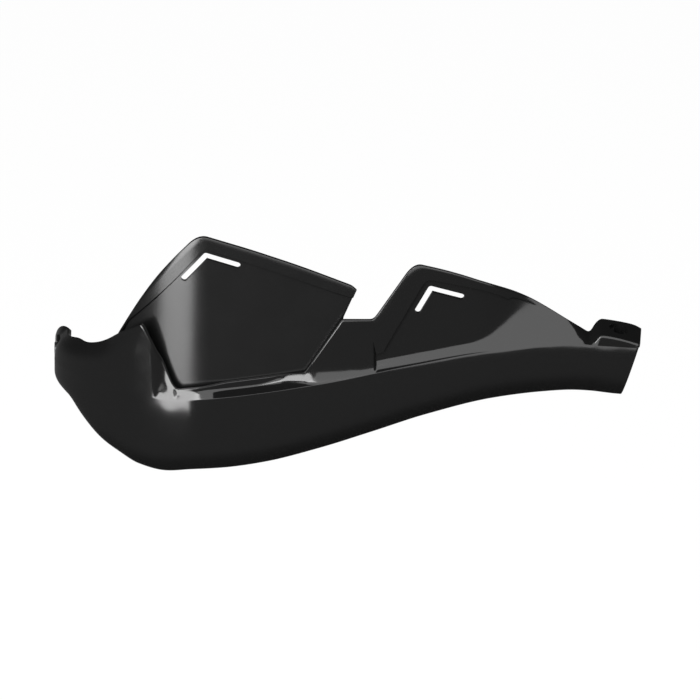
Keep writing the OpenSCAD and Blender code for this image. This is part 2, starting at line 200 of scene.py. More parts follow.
def outline(tab, x):
    """Straight outline through the rows of a table, each corner rounded over its third value."""
    i = stretch(tab, x)
    y = tab[i][1] + rise(tab, i) * (x - tab[i][0])
    for j in range(1, len(tab) - 1):
        gap = tab[j][2] - abs(x - tab[j][0])
        if gap > 0:
            y += (rise(tab, j) - rise(tab, j - 1)) * gap * gap / (4 * tab[j][2])
    return y


ALONG_X = Matrix.Rotation(math.pi / 2, 4, "Y")

# Lug's hole: its distances from the end and from the front, and its tilt
LUG_HOLE_X = 11.6
LUG_HOLE_IN = 13.8
LUG_TILT = math.atan(7 / 25)

# Cutter of a slot: where it starts in front of the guard, how far it goes, and its steps
SLOT_FRONT = REACH + 14
SLOT_THROUGH = REACH + 10
SLOT_END_STEPS = 12
SLOT_CORNER_STEPS = 4

# Plan curve: end plate, corner and long front arc
PLATE_Y = -8.0
CORNER_IN = 25.0
CORNER_OUT = 50.0
FRONT_SLOPE = (CORNER_X - CROWN_X) / FRONT_R
FRONT_Y = -REACH + (CORNER_X - CROWN_X) ** 2 / (2 * FRONT_R)
BEND = [
    Vector((END_X, PLATE_Y)), Vector((END_X, PLATE_Y - CORNER_IN)),
    Vector((CORNER_X - CORNER_OUT, FRONT_Y - CORNER_OUT * FRONT_SLOPE)),
    Vector((CORNER_X, FRONT_Y)),
]
FRONT_UNIT = 100.0


def plan(u):
    """Point of the plan curve.

    Stations below 0 are millimetres along the end plate, 0 to 1 is the corner, then the front.
    """
    if u <= 0:
        return Vector((END_X, PLATE_Y - u))
    if u < 1:
        return (BEND[0] * (1 - u) ** 3 + BEND[1] * 3 * u * (1 - u) ** 2
                + BEND[2] * 3 * u * u * (1 - u) + BEND[3] * u ** 3)
    x = CORNER_X + (u - 1) * FRONT_UNIT
    return Vector((x, -REACH + (x - CROWN_X) ** 2 / (2 * FRONT_R)))


def outward(u):
    """Level direction out of the guard's front at station u."""
    if u <= 0:
        h = Vector((0, -1))
    elif u < 1:
        h = ((BEND[1] - BEND[0]) * 3 * (1 - u) ** 2 + (BEND[2] - BEND[1]) * 6 * u * (1 - u)
             + (BEND[3] - BEND[2]) * 3 * u * u)
    else:
        h = Vector((1, (CORNER_X + (u - 1) * FRONT_UNIT - CROWN_X) / FRONT_R))
    h.normalize()
    return Vector((h.y, -h.x))


def station(x):
    """Station whose place along the bar is x."""
    if x >= CORNER_X:
        return 1 + (x - CORNER_X) / FRONT_UNIT
    lo, hi = 0.0, 1.0
    for _ in range(30):
        mid = (lo + hi) / 2
        if plan(mid).x < x:
            lo = mid
        else:
            hi = mid
    return (lo + hi) / 2


WINDOW_FLOOR_L = WINDOW_L + 19.3
WINDOW_FLOOR_R = WINDOW_R - 22
WING_L = WINDOW_R + 18.2
WING_STEP = WING_L + 6.1
LUG_L = GUARD_L - 30.5
LUG_Z = 30.0
LUG_TOP = LUG_Z + 3.2
LUG_RISE = 2.8


def wing_run(run):
    """Place at a share of the run from the wing's peak to the lug."""
    return lerp(WING[0], LUG_L, run)


def falling(run, drop, r=0):
    """Point at shares of the run and of the drop from the wing's peak to the lug."""
    return (wing_run(run), lerp(WING[1], LUG_TOP, drop), r)


# Tables of the shell: place along the bar, value, and for an outline the rounding of the corner.
# LEDGE_DEPTH, LEDGE_RISE, WALL_LEAN and FILLET_R are tuned for the way the ledge takes the light,
# and leave the skin up to 4 mm from the source's.
LOWER_EDGE = [
    (END_X, -STRAP_R), (1.5, -18), (9, -26.8), (20, -36.2), (30, -41.2), (42, -46.4), (56, -48.4),
    (74, -46.3), (95, -44.7), (118, -41.1), (150, -32.6), (180, -23), (wing_run(0.07), -12.8),
    (wing_run(0.447), -4), (wing_run(0.73), -1.1), (wing_run(0.87), -0.6), (LUG_L + 4, -1.5),
    (GUARD_L, -4.5),
]
CREASE_LINE = [
    (END_X, 0), (20, 2), (40, 0), (60, -1.5), (85, 0.3), (150, 9.5), (200, 19.5),
    (wing_run(0.447), 27.5), (wing_run(0.842), 30), (LUG_L + 10, 27.5), (GUARD_L, 25),
]
TOP_EDGE = [
    (END_X, STRAP_R, 1), (2.5, 19.6, 3), (8, 19.7, 4), (19, 24.5, 6), (32, 35.4, 5),
    (WINDOW_L, 43, 1.5), (WINDOW_FLOOR_L, 4, 3), (WINDOW_FLOOR_R, 14.6, 1),
    (WINDOW_R, BRIDGE_Z, 1), (WING_L, BRIDGE_Z, 2), (*WING, 5), falling(0.218, 0.113, 12),
    falling(0.51, 0.34, 12), falling(0.74, 0.603, 10), falling(0.94, 0.895, 5),
    (LUG_L + 1, LUG_TOP - 0.5, 1.5), (LUG_L + 6, LUG_Z + 6.8, 2), (GUARD_L - 12, LUG_Z + 3.9, 8),
    (GUARD_L, LUG_Z, 1),
]
LIP_DEPTH = [(END_X, 6.5), (22, 7), (60, 9), (250, 9), (GUARD_L, 6)]
CROWN_DEPTH = [(END_X, 0), (32, 0), (62, BAND_CROWN), (GUARD_L, BAND_CROWN)]
LEDGE_DEPTH = [
    (END_X, 1), (40, 1.5), (52, 2), (56, 2.4), (78, 2.2), (98, LEDGE_D), (WINDOW_R - 38, LEDGE_D),
    (WINDOW_R - 18, 3), (WING_L + 1, 1.6), (wing_run(0.35), 1), (wing_run(0.72), 7),
    (wing_run(0.862), 7), (LUG_L, 3.6), (LUG_L + 7, 0.7), (GUARD_L, 0.6),
]
LEDGE_RISE = [
    (END_X, 8.5), (20, 15), (40, 27), (50, 26), (55, 9), (62, 5), (78, 4.5), (98, 2.5),
    (WINDOW_R + 7, 2.5), (WING_L + 1, 2.6), (wing_run(0.35), 2.6), (wing_run(0.694), 8),
    (wing_run(0.862), 8), (LUG_L, 5.5), (LUG_L + 7, 6), (GUARD_L, 6),
]
WALL_LEAN = [
    (END_X, 1), (10, 0.8), (22, 0.57), (36, 0.2), (46, 0.06), (53, 0.06), (56, 0.18), (66, 0.16),
    (72, 0.1), (wing_run(0.447), 0.1), (wing_run(0.743), 0.25), (GUARD_L, 0.25),
]
FILLET_R = [
    (END_X, 5), (40, 6), (56, 5), (66, 1.2), (WINDOW_R - 50, 1.2), (WINDOW_R - 28, 7),
    (WINDOW_R - 5, 14), (WING_L - 1.5, 20), (WING_L + 1.5, 4.5), (wing_run(0.3), 5),
    (wing_run(0.595), 22), (wing_run(0.842), 14), (LUG_L + 7, 6), (GUARD_L, 6),
]
LUG_REACH = [
    (LUG_L - 25, 0, 1), (LUG_L - 7, 2, 6), (LUG_L + 1, 6, 2), (LUG_L + 6, LUG_D, 3),
    (GUARD_L - 4, LUG_D, 3), (GUARD_L, LUG_D - 3, 1),
]
WING_PANEL = [
    (WING_L, 14, 1), (WING_STEP, 29, 3), falling(0.069, 0.216, 3), falling(0.428, 0.386, 8),
    falling(0.526, 0.496, 8), falling(0.714, 0.769, 1),
]
RECESS_START = WING_L - 0.7
RECESS_RUN = 2.5
FADE_L = wing_run(0.447)
FADE_R = wing_run(0.713)
END_SLANT = 0.34
END_RUN = 45.0
END_TURN = (GUARD_L - CROWN_X) / FRONT_R
SLANT_Z = 31.0


def end_share(x):
    """Share of the slanted end at place x."""
    return ease((x - GUARD_L + END_RUN) / END_RUN)


def wing_share(x):
    """Share of the wing's recess at place x: a step on the left, a long fade on the right."""
    return ease((x - RECESS_START) / RECESS_RUN) * (1 - ease((x - FADE_L) / (FADE_R - FADE_L)))


def side(v):
    """Turns a direction a quarter left and makes it one long."""
    return Vector((-v.y, v.x)).normalized()


def bend(a, k, b, f):
    """Point at share f of the curve from a to b that is drawn towards k."""
    return a * (1 - f) ** 2 + k * 2 * f * (1 - f) + b * f * f


def spaced(a, b, n, last=True):
    """Values at n even steps from a to b, with or without the last."""
    return [lerp(a, b, i / n) for i in range(n + (1 if last else 0))]


def rounding_places(r):
    """Distances from a rim at which its rounding has a row, every 30 degrees of its arc."""
    return [0.0, r * 0.134, r * 0.5, r]


def rim_sink(d, r):
    """How far a face sinks into the wall at distance d from a rim rounded with radius r."""
    return r - math.sqrt(max(0.0, r * r - (r - min(d, r)) ** 2))


def curl_rows(zb, h, lip, r):
    """Rows of the curl: a quarter of an ellipse, the rounded lower edge in its first rows."""
    edge = rounding_places(r)
    starts = [s / lip for s in edge]
    turns = starts + spaced(starts[-1], math.pi / 2, CURL_STEPS, False)[1:]
    rows = []
    for q, s in zip(turns, edge + [r] * (CURL_STEPS - 1)):
        p = Vector((-lip * (1 - math.sin(q)), zb + h * (1 - math.cos(q))))
        rows.append((p, side(Vector((lip * math.cos(q), h * math.sin(q)))), 0.0, s))
    return rows


def wall_rows(b, t, wall_dir, step, r):
    """Rows of the wall, the step up to its rim, and the rim with its rounded upper edge."""
    wall_in = side(wall_dir)
    run = (t - b).length
    rows = [(b.lerp(t, step * f), wall_in, 0.0, r) for f in spaced(0, 1, WALL_STEPS)[1:]]
    ramp = min(STEP_W / run / (1 - step), STEP_MOST)
    for f in (0.25, 0.5, 0.75, 1):
        rows.append((b.lerp(t, lerp(step, 1, ramp * f)), wall_in, ease(f), r))
    top = (1 - step) * (1 - ramp) * run
    rr = min(r, 0.5 * top)
    for f in (0.35, 0.7):
        rows.append((t - wall_dir * lerp(top, rr, f), wall_in, 1.0, r))
    for s in reversed(rounding_places(rr)):
        rows.append((t - wall_dir * s, wall_in, 1.0, s if rr >= r else s * r / max(rr, 1e-6)))
    return rows


def shell_section(x, r, inner):
    """Rows of the shell's section at place x, and the depth of the wing's recess there.

    A row is a point, its inward direction, its share of the rim and its distance to the edge.
    """
    zb, zc, zt = curve(LOWER_EDGE, x), curve(CREASE_LINE, x), outline(TOP_EDGE, x)
    lip, crown = curve(LIP_DEPTH, x), curve(CROWN_DEPTH, x)
    h = min(CURL_H, (zc - zb) * 0.5)
    band_h = zc - zb - h
    share_here = wing_share(x)
    deep = WING_RELIEF * share_here
    # Corners of the section: crease, foot of the wall and top
    zk = min(zc + curve(LEDGE_RISE, x), zt - WALL_LEAST)
    c = Vector((-crown, zc))
    k = Vector((-crown - curve(LEDGE_DEPTH, x) - deep, zk))
    t = Vector((k.x - curve(WALL_LEAN, x) * (zt - zk) - max(0.0, outline(LUG_REACH, x)), zt))
    band_dir = Vector((-2 * crown, band_h)).normalized()
    ledge_dir = (k - c).normalized()
    wall_dir = (t - k).normalized()
    band_in, ledge_in = side(band_dir), side(ledge_dir)
    half = math.tan(math.acos(max(-1.0, min(1.0, band_in.dot(ledge_in)))) / 2)
    # Ends of the fillet between ledge and wall, which gets small on the lug's outside
    gap = (k - c).length
    start = gap - WALL * half - LEDGE_KEEP if inner else gap - LEDGE_KEEP
    at_lug = 1 if inner else lerp(1, LUG_FILLET, ease((x - LUG_L) / LUG_FADE))
    fillet = curve(FILLET_R, x) * at_lug
    a = k - ledge_dir * min(fillet, start)
    b = k + (t - k) * min(FILLET_MOST, fillet / (t - k).length)
    run = (t - b).length
    # Share of the wall at which the step up to the rim starts
    share = 0.5
    if deep > 0:
        share = (outline(WING_PANEL, x) - b.y) / (t.y - b.y)
        share = min(PANEL_HIGH, max(PANEL_LOW, share))
    step = share
    if inner:
        most = min(share + WALL / run, lerp(share, 1, INNER_STEP))
        step = lerp(share, most, unit(share_here * 4))
    rows = curl_rows(zb, h, lip, r)
    # Band, up to the rounding of the crease
    soft = min(CREASE_SOFT, 0.8 * (a - c).length)
    stop = 1 - max(WALL * half + CREASE_CLEAR, soft) / band_h
    for f in spaced(0, stop, BAND_STEPS):
        rows.append((Vector((-crown * f * f, lerp(zb + h, zc, f))),
                     side(Vector((-2 * crown * f, band_h))), 0.0, r))
    # Crease, rounded over the soft length outside and kept tight inside
    mitre = (band_in + ledge_in) / (1 + band_in.dot(ledge_in))
    for f in spaced(0, 1, CREASE_STEPS):
        if inner:
            p = c - band_dir * CREASE_TIGHT * (1 - f) + ledge_dir * CREASE_TIGHT * f
            rows.append((p, mitre, 0.0, r))
        else:
            p = bend(c - band_dir * soft, c, c + ledge_dir * soft, f)
            rows.append((p, band_in.lerp(ledge_in, f).normalized(), 0.0, r))
    # Fillet
    for f in spaced(0, 1, FILLET_STEPS):
        d = (k - a) * 2 * (1 - f) + (b - k) * 2 * f
        if d.length < 1e-6:
            d = t - b
        rows.append((bend(a, k, b, f), side(d), 0.0, r))
    rows += wall_rows(b, t, wall_dir, step, r)
    return rows, deep


def shell_point(u, row, deep, depth):
    """Point of the shell at station u on a row of its section, that deep in the wall."""
    p = plan(u)
    beyond = max(0.0, p.y)
    tip = math.sqrt(max(0.0, 1 - (beyond / STRAP_R) ** 2))
    tip_depth = 1 - beyond / STRAP_R
    s, inward, rim, _ = row
    m = Vector((-1, 0)).lerp(inward, tip) * depth
    shift = END_SLANT * (SLANT_Z - s.y) + END_TURN * (s.x + m.x)
    v = u - end_share(p.x) * shift / FRONT_UNIT
    at = plan(v) + outward(v) * (s.x * tip_depth + rim * deep + m.x)
    return Vector((at.x, at.y, s.y * tip + m.y))


def shell_stations(r):
    """Stations of the shell's sections, close together where its outline turns."""
    # Angles round the strap's end, in degrees
    tips = [84, 82, 79, 75, 69, 62, 54, 46, 38, 30, 22, 15, 8]
    stations = [PLATE_Y - STRAP_R * math.sin(math.radians(q)) for q in tips]
    stations += spaced(PLATE_Y, 0, 4, False) + spaced(0, station(8), 14, False)
    # Each stretch's start and the number of sections in it
    stretches = [
        (8, 20), (32, 9), (WINDOW_L - 2, 7), (WINDOW_L + 2, 12), (WINDOW_FLOOR_L - 4, 10),
        (WINDOW_FLOOR_L + 4, 40), (WINDOW_FLOOR_R - 2, 7), (WINDOW_FLOOR_R + 2, 14),
        (WINDOW_R - 1.5, 6), (WINDOW_R + 1.5, 10), (WING_L - 2, 18), (WING_STEP, 12),
        (WING[0] - 5, 14), (WING[0] + 6, 66), (LUG_L - 5, 18), (LUG_L + 8, 12), (GUARD_L - 4, 4),
    ]
    ends = [lo for lo, _ in stretches[1:]] + [GUARD_L - r]
    xs = []
    for (lo, n), hi in zip(stretches, ends):
        xs += spaced(lo, hi, n, False)
    xs += [GUARD_L - s for s in reversed(rounding_places(r))]
    return stations + [station(x) for x in xs]


def ring_mesh(name, columns):
    """Wraps a grid round columns of outer and inner points and closes it into one solid skin."""
    rings = [outer + inner[::-1] + outer[:1] for outer, inner in columns]
    caps = [[(a + b) / 2 for a, b in zip(*columns[i])] for i in (0, -1)]
    first, last = (cap + cap[::-1] + cap[:1] for cap in caps)
    rings = [first] + rings + [last]
    nr, nc = len(first), len(rings)
    bm = bmesh.new()
    bmesh.ops.create_grid(bm, x_segments=nr - 1, y_segments=nc - 1, size=0.5)
    for v in bm.verts:
        i = round((v.co.y + 0.5) * (nc - 1))
        j = round((v.co.x + 0.5) * (nr - 1))
        v.co = rings[i][j] * MM
    bmesh.ops.remove_doubles(bm, verts=bm.verts, dist=MERGE)
    bmesh.ops.dissolve_degenerate(bm, edges=bm.edges, dist=MERGE)
    bmesh.ops.recalc_face_normals(bm, faces=bm.faces)
    return solid_object(name, bm)


def smooth(mesh):
    """Shades a mesh smooth but for its sharp edges."""
    mesh.shade_smooth()
    mesh.set_sharp_from_angle(angle=SHARP)


def solid_object(name, bm):
    """Makes an object of a bmesh."""
    mesh = bpy.data.meshes.new(name)
    bm.to_mesh(mesh)
    bm.free()
    smooth(mesh)
    obj = bpy.data.objects.new(name, mesh)
    bpy.context.scene.collection.objects.link(obj)
    return obj


def discard(obj):
    """Removes an object and its mesh."""
    mesh = obj.data
    bpy.data.objects.remove(obj)
    bpy.data.meshes.remove(mesh)


def cut_and_join(obj, tool, operation):
    """Applies one exact boolean to obj and removes the tool object."""
    mod = obj.modifiers.new("cut", "BOOLEAN")
    mod.operation = operation
    mod.solver = "EXACT"
    mod.object = tool
    bpy.context.view_layer.update()
    seen = obj.evaluated_get(bpy.context.evaluated_depsgraph_get())
    mesh = bpy.data.meshes.new_from_object(seen)
    obj.modifiers.clear()
    old = obj.data
    obj.data = mesh
    mesh.name = old.name
    bpy.data.meshes.remove(old)
    discard(tool)
    smooth(mesh)


def dress(obj, material):
    """Leaves one material on a piece."""
    obj.data.materials.clear()
    obj.data.materials.append(material)


def add_cylinder(bm, d, h, matrix, segments=64):
    """Cylinder of diameter d standing h high on the plane of a matrix, in millimetres."""
    bmesh.ops.create_cone(
        bm, cap_ends=True, segments=segments, radius1=d / 2, radius2=d / 2, depth=h,
        matrix=Matrix.Scale(MM, 4) @ matrix @ Matrix.Translation((0, 0, h / 2)))


def extrude_outline(bm, points, way):
    """Makes a face of an outline and extrudes it along a vector."""
    face = bm.faces.new([bm.verts.new(p) for p in points])
    grown = bmesh.ops.extrude_face_region(bm, geom=[face])
    moved = [e for e in grown["geom"] if isinstance(e, bmesh.types.BMVert)]
    bmesh.ops.translate(bm, verts=moved, vec=way)


def turn_profile(bm, points, axis, steps, loop, merge):
    """Turns a profile once round an axis through the origin, as a lathe does.

    Loop joins its last point to its first, and points nearer than merge become one.
    """
    verts = [bm.verts.new(p) for p in points]
    ends = verts[1:] + (verts[:1] if loop else [])
    edges = [bm.edges.new(pair) for pair in zip(verts, ends)]
    bmesh.ops.spin(bm, geom=verts + edges, cent=(0, 0, 0), axis=axis, dvec=(0, 0, 0),
                   angle=2 * math.pi, steps=steps, use_merge=True)
    bmesh.ops.remove_doubles(bm, verts=bm.verts, dist=merge)
    bmesh.ops.recalc_face_normals(bm, faces=bm.faces)


def on_guard(x, z, d):
    """Frame at place x, height z and depth d, its Z pointing outwards from the guard."""
    u = station(x)
    out = outward(u)
    p = plan(u) + out * d
    turn = Matrix.Rotation(math.atan2(out.y, out.x), 4, "Z") @ ALONG_X
    return Matrix.Translation((p.x, p.y, z)) @ turn


def on_lug():
    """Frame on top of the lug, its Z along the hole."""
    u = station(GUARD_L - LUG_HOLE_X)
    p = plan(u) - outward(u) * LUG_HOLE_IN
    return Matrix.Translation((p.x, p.y, LUG_Z + LUG_RISE)) @ Matrix.Rotation(LUG_TILT, 4, "Y")


def v_slot(name, left, corner, right):
    """Cutter for a V-shaped slot with round ends, standing across the guard from front to back."""
    a, b, c = (Vector(p[:2]) for p in (left, corner, right))
    half = SLOT_W / 2
    first, second = (b - a).normalized(), (c - b).normalized()
    n1, n2 = side(first), side(second)
    half_turn = spaced(0, math.pi, SLOT_END_STEPS)
    edge = [a + n1 * half * math.cos(q) - first * half * math.sin(q) for q in half_turn]
    edge.append(b - (n1 + n2) / (1 + n1.dot(n2)) * half)
    edge += [c - n2 * half * math.cos(q) + second * half * math.sin(q) for q in half_turn]
    for q in spaced(math.atan2(n2.y, n2.x), math.atan2(n1.y, n1.x), SLOT_CORNER_STEPS):
        edge.append(b + Vector((math.cos(q), math.sin(q))) * half)
    bm = bmesh.new()
    extrude_outline(bm, [(p.x * MM, -SLOT_FRONT * MM, p.y * MM) for p in edge],
                    (0, SLOT_THROUGH * MM, 0))
    bmesh.ops.recalc_face_normals(bm, faces=bm.faces)
    return solid_object(name, bm)


DEFLECTOR_BACK = BAND_CROWN + LEDGE_D + WALL + SEAT_GAP
DEFLECTOR_LEAN = 0.1
DEFLECTOR_L = 25.0
DEFLECTOR_R = WINDOW_R + 8.6


def from_peak(x, z, r=0):
    """Point placed from the peak of the deflector."""
    return (PEAK[0] + x, PEAK[1] + z, r)


def past_peak(run, drop, r):
    """Point at a share of the run from the peak to the inner edge, that far below the peak."""
    return (lerp(PEAK[0], DEFLECTOR_R, run), PEAK[1] - drop, r)


DEFLECTOR_TOP = [
    (20, 20, 1), (31, 41.8, 6), from_peak(-34.7, -34.8, 8), from_peak(-20.6, -17.9, 8), (*PEAK, 8),
    past_peak(0.347, 9.6, 10), past_peak(0.657, 19.4, 12), (DEFLECTOR_R - 2.6, PEAK[1] - 31, 1.5),
    (DEFLECTOR_R, PEAK[1] - 33.5, 1),
]
DEFLECTOR_PANEL = [
    (20, 27.5, 1), from_peak(-36.8, -48.8, 4), from_peak(4.2, -9.3, 4),
    (DEFLECTOR_R, PEAK[1] - 38.8, 1),
]
DEFLECTOR_SKIRT = [(20, 12), (45, 6), (62, -12), (85, -14), (150, -4), (DEFLECTOR_R, -1)]
DEFLECTOR_SLANT = 0.46
SLANT_RUN = 50.0
SLANT_FOOT = BRIDGE_Z - 2
LEAN_START = 2.5
RIM_LEAST = 3.0
PANEL_STEPS = 34
FACE_STEPS = 110
CLOSE_RUN, CLOSE_STEPS = 4.0, 5


def deflector_depth(x, z):
    """Depth of the deflector's outer face, which leans back above the crease."""
    return -DEFLECTOR_BACK - DEFLECTOR_LEAN * (z - curve(CREASE_LINE, x) - LEAN_START)


def deflector_column(x, r):
    """Outer and inner points of the deflector at place x."""
    u = station(x)
    end_gap = min(x - DEFLECTOR_L, DEFLECTOR_R - x)
    zs, zt = curve(DEFLECTOR_SKIRT, x), outline(DEFLECTOR_TOP, x)
    run = zt - zs
    share = (min(zt - RIM_LEAST, outline(DEFLECTOR_PANEL, x)) - zs) / run
    slant = DEFLECTOR_SLANT * ease(1 + (x - DEFLECTOR_R) / SLANT_RUN)
    sides = []
    for inner in (False, True):
        step = share
        if inner:
            step = min(share + DEFLECTOR_WALL / run, lerp(share, 1, INNER_STEP))
        ramp = min(STEP_W / run / (1 - step), STEP_MOST)
        # Lower edge, panel, step, rim and upper edge, as shares of the height
        rows = [(s / run, 0.0, s) for s in rounding_places(r)]
        rows += [(lerp(r / run, step, f), 0.0, r) for f in spaced(0, 1, PANEL_STEPS)[1:]]
        rows += [(lerp(step, 1, ramp * f), ease(f), r) for f in (0.2, 0.4, 0.6, 0.8, 1)]
        rows += [(lerp(lerp(step, 1, ramp), 1 - r / run, f), 1.0, r) for f in (0.33, 0.66)]
        rows += [(1 - s / run, 1.0, s) for s in reversed(rounding_places(r))]
        out = []
        for f, rim, s in rows:
            z = lerp(zs, zt, f)
            sink = rim_sink(min(s, end_gap), r)
            d = deflector_depth(x, z) + rim * DEFLECTOR_RELIEF
            d -= DEFLECTOR_WALL - sink if inner else sink
            v = u - slant * (zt - max(z, SLANT_FOOT)) / FRONT_UNIT
            at = plan(v) + outward(v) * d
            out.append(Vector((at.x, at.y, z)))
        sides.append(out)
    return sides


SCREW_DROP = 9.0


def below_crease(x):
    """Place of a screw just below the crease."""
    return (x, curve(CREASE_LINE, x) - SCREW_DROP)


SCREW_L_X = WINDOW_L - 1.7
SCREW_R_X = WINDOW_R - 9
SCREW_PLACES = [(SCREW_L_X, 24)]
SCREW_PLACES += [below_crease(lerp(SCREW_L_X, SCREW_R_X, f)) for f in (0.315, 0.676, 1)]
PAD_T = 0.8
PAD_D = FLANGE_D + 3
BOSS_GAP = 0.8
PROBE_R = 0.6
RIB_PLACES = [lerp(WINDOW_L, WINDOW_R, f) for f in (0.146, 0.45, 0.78, 1.11)]
RIB_PLACES += [wing_run(f) for f in (0.052, 0.388, 0.704, 0.94)]


def screw_seat(x, z):
    """Depth of the pad's face under a screw's flange."""
    return deflector_depth(x, z) - DEFLECTOR_WALL - PAD_T


def skin_depth(x, z):
    """Depth of the shell's outer face at place x and height z, away from its rounded edges."""
    rows, _ = shell_section(x, PROBE_R, False)
    for a, b in zip(rows, rows[1:]):
        if a[0].y <= z <= b[0].y and b[0].y > a[0].y:
            return lerp(a[0].x, b[0].x, (z - a[0].y) / (b[0].y - a[0].y))
    return rows[-1][0].x


def shell_columns(r):
    """Outer and inner points of the shell's skin, one section after the other."""
    columns = []
    for u in shell_stations(r):
        x, y = plan(u)
        sides = []
        for inner in (False, True):
            rows, deep = shell_section(x, r, inner)
            points = []
            for row in rows:
                near = min(row[3], GUARD_L - x)
                if y > 0:
                    tip = math.sqrt(max(0.0, 1 - (y / STRAP_R) ** 2))
                    near = min(near, STRAP_R - math.hypot(y, row[0].y * tip))
                sink = rim_sink(max(0.0, near), r)
                points.append(shell_point(u, row, deep, WALL - sink if inner else sink))
            sides.append(points)
        columns.append(sides)
    return columns


def add_rib(bm, x, r):
    """Rib behind the band at place x, from the curl up to the crease."""
    u = station(x)
    rows, _ = shell_section(x, r, False)
    line = [row[0] + row[1] * WALL * EMBED
            for row in rows[RIB_START:BAND_END] + [rows[CREASE_MIDDLE]]]
    line += [line[-1] + RIB_TOP, line[0] + RIB_FOOT]
    out, p = outward(u), plan(u)
    across = Vector((-out.y, out.x, 0)) * RIB_T
    points = [Vector((p.x + out.x * s.x, p.y + out.y * s.x, s.y)) - across / 2 for s in line]
    extrude_outline(bm, [point * MM for point in points], across * MM)


def shell_backing(r):
    """What stands on the shell's back: both bolt seats, the screw bosses and the ribs."""
    bm = bmesh.new()
    foot = WALL * EMBED
    add_cylinder(bm, SEAT_D, STRAP_OUT - foot, Matrix.Translation((END_X + foot, 0, 0)) @ ALONG_X)
    add_cylinder(bm, LUG_SEAT_D, LUG_T - foot, on_lug() @ Matrix.Translation((0, 0, -LUG_T)))
    for x, z in SCREW_PLACES:
        tip = deflector_depth(x, z) + BOSS_GAP
        tall = skin_depth(x, z) - foot - tip
        add_cylinder(bm, BOSS_D, tall, on_guard(x, z, tip), segments=40)
    for x in RIB_PLACES:
        add_rib(bm, x, r)
    bmesh.ops.recalc_face_normals(bm, faces=bm.faces)
    return solid_object("backing", bm)


def shell_drills():
    """Holes of the shell for the bush, the clamp bolt and the screws."""
    bm = bmesh.new()
    add_cylinder(bm, BUSH_D + 2 * FIT_GAP, STRAP_OUT + 2 * PAST,
                 Matrix.Translation((END_X - PAST, 0, 0)) @ ALONG_X)
    add_cylinder(bm, LUG_HOLE_D, LUG_T + 4 * PAST,
                 on_lug() @ Matrix.Translation((0, 0, -LUG_T - PAST)))
    for x, z in SCREW_PLACES:
        add_cylinder(bm, SCREW_D + 2 * FIT_GAP, SCREW_L + BOSS_GAP,
                     on_guard(x, z, screw_seat(x, z)), segments=24)
    return solid_object("drills", bm)


def deflector_columns(r):
    """Outer and inner points of the deflector's skin, closer together at its inner edge."""
    ends = rounding_places(r)
    close = DEFLECTOR_R - CLOSE_RUN
    xs = [DEFLECTOR_L + s for s in ends]
    xs += spaced(DEFLECTOR_L + r, close, FACE_STEPS)[1:]
    xs += spaced(close, DEFLECTOR_R - r, CLOSE_STEPS)[1:]
    xs += [DEFLECTOR_R - s for s in reversed(ends)][1:]
    return [deflector_column(x, r) for x in xs]


def at_screws(name, d, h, lift, segments=64):
    """Cylinders standing on the deflector's four screw seats, moved back by lift."""
    bm = bmesh.new()
    for x, z in SCREW_PLACES:
        add_cylinder(bm, d, h, on_guard(x, z, screw_seat(x, z) - lift), segments)
    return solid_object(name, bm)


def screw_profile():
    """Half outline of a screw: domed head, flange, thread drawn as rings, and blunt tip."""
    head_r, flange_r, shank = FLANGE_D * 0.375, FLANGE_D / 2, SCREW_D / 2
    profile = [(0, -HEAD_T), (head_r * 0.7, -HEAD_T + 0.05), (head_r * 0.93, -HEAD_T + 0.4),
               (head_r, -FLANGE_T - 0.3), (head_r + 0.2, -FLANGE_T),
               (flange_r - 0.2, -FLANGE_T + 0.1), (flange_r, -FLANGE_T / 2),
               (flange_r - 0.15, 0), (shank - 0.4, 0)]
    z = 0.6
    while z < SCREW_L - 1.6:
        profile += [(shank - THREAD_T, z), (shank, z + THREAD_T),
                    (shank - THREAD_T, z + 2 * THREAD_T)]
        z += THREAD_PITCH
    return profile + [(shank - 0.6, SCREW_L - 0.8), (0.9, SCREW_L), (0, SCREW_L)]


def screw_recess():
    """Cross-shaped recess in a screw's head."""
    arm, web = RECESS_L / 2, RECESS_W / 2
    cross = [(arm, -web), (arm, web), (web, web), (web, arm), (-web, arm), (-web, web),
             (-arm, web), (-arm, -web), (-web, -web), (-web, -arm), (web, -arm), (web, -web)]
    bm = bmesh.new()
    extrude_outline(bm, [(a, b, -HEAD_T - RECESS_T) for a, b in cross], (0, 0, 2 * RECESS_T))
    bmesh.ops.recalc_face_normals(bm, faces=bm.faces)
    return solid_object("recess", bm)


# Materials

def linear(code):
    """Linear colour of an sRGB hex value."""
    values = [int(code[i:i + 2], 16) / 255 for i in (1, 3, 5)]
    values = [v / 12.92 if v <= 0.04045 else ((v + 0.055) / 1.055) ** 2.4 for v in values]
    return (*values, 1.0)


def node(tree, kind, settings=None, links=None):
    """Adds a node with its properties and input values, and links {input: socket}."""
    made = tree.nodes.new(kind)
    for key, value in (settings or {}).items():
        if isinstance(key, int) or key in made.inputs:
            made.inputs[key].default_value = value
        else:
            setattr(made, key, value)
    for key, socket in (links or {}).items():
        tree.links.new(socket, made.inputs[key])
    return made


def new_material(name):
    """Material with an empty node tree."""
    mat = bpy.data.materials.new(name)
    mat.use_nodes = True
    mat.node_tree.nodes.clear()
    return mat, mat.node_tree


